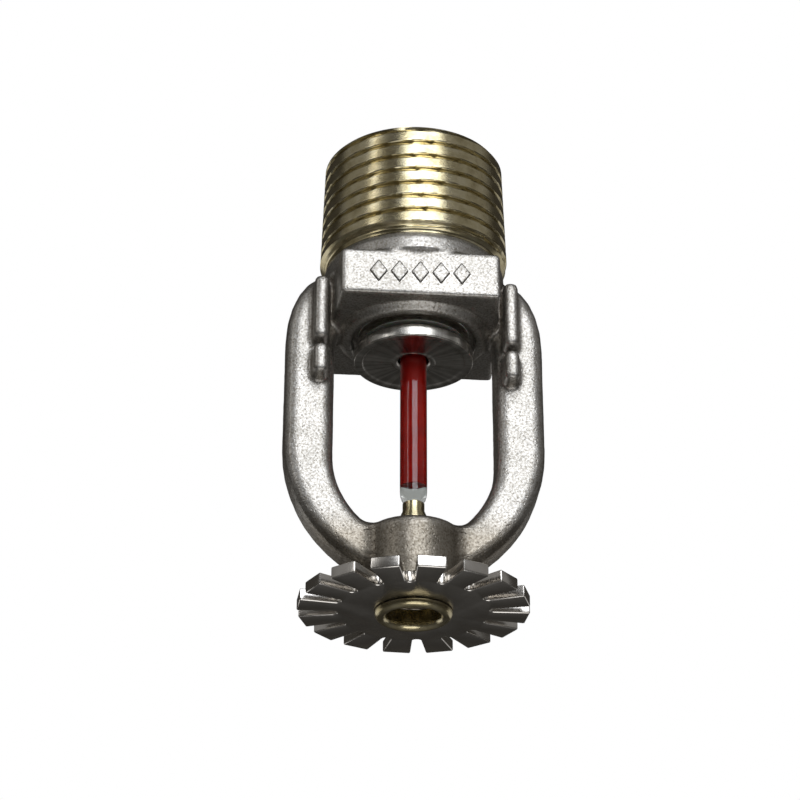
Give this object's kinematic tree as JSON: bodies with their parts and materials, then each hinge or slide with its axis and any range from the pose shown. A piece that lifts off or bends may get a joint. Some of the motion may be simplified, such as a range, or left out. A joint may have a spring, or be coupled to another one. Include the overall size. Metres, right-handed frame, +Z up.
{
  "type": "fire sprinkler head",
  "caption": "Pendent fire sprinkler head: tapered pipe thread, cast yoke frame, red glass bulb under a load screw, valve cap and slotted deflector.",
  "frame": {"origin": "centre of the inlet end face, on the pipe thread's axis; the head hangs below it", "axes": "+Z up along the thread's axis towards the pipe, X across the two yoke arms, -Y out of the front wrench flat"},
  "size_m": [0.029, 0.025, 0.0562],
  "materials": {
    "plated_casting": "satin nickel plate over a grainy cast surface",
    "deflector_plate": "dull plated stamping",
    "bare_brass": "machined",
    "bulb_glass": "clear polished glass",
    "bulb_liquid": "red liquid seen through glass",
    "turned_cap": "lathe turned and plated",
    "spring_metal": "cold formed",
    "seal_film": "milky fluoropolymer film"
  },
  "bodies": {
    "frame": {"frame": "plated_casting", "deflector": "deflector_plate"},
    "bulb_stack": {"bulb_glass": "bulb_glass", "bulb_liquid": "bulb_liquid", "bulb_cap": "turned_cap", "disc_spring": "spring_metal", "seal_film_upper": "seal_film", "seal_film_lower": "seal_film"},
    "load_screw": {"load_screw": "bare_brass"}
  },
  "joints": [
    {"name": "screw_travel", "type": "slide", "parent": "frame", "child": "bulb_stack", "axis": [0, 0, -1], "range_m": [0, 0.0025]},
    {"name": "screw_turn", "type": "hinge", "parent": "bulb_stack", "child": "load_screw", "pos_m": [0, 0, -0.0505], "axis": [0, 0, 1], "range_deg": [-1000, 0]}
  ],
  "couplings": [
    {"joint": "screw_turn", "follows": "screw_travel", "rad_per_m": -6926.5}
  ]
}
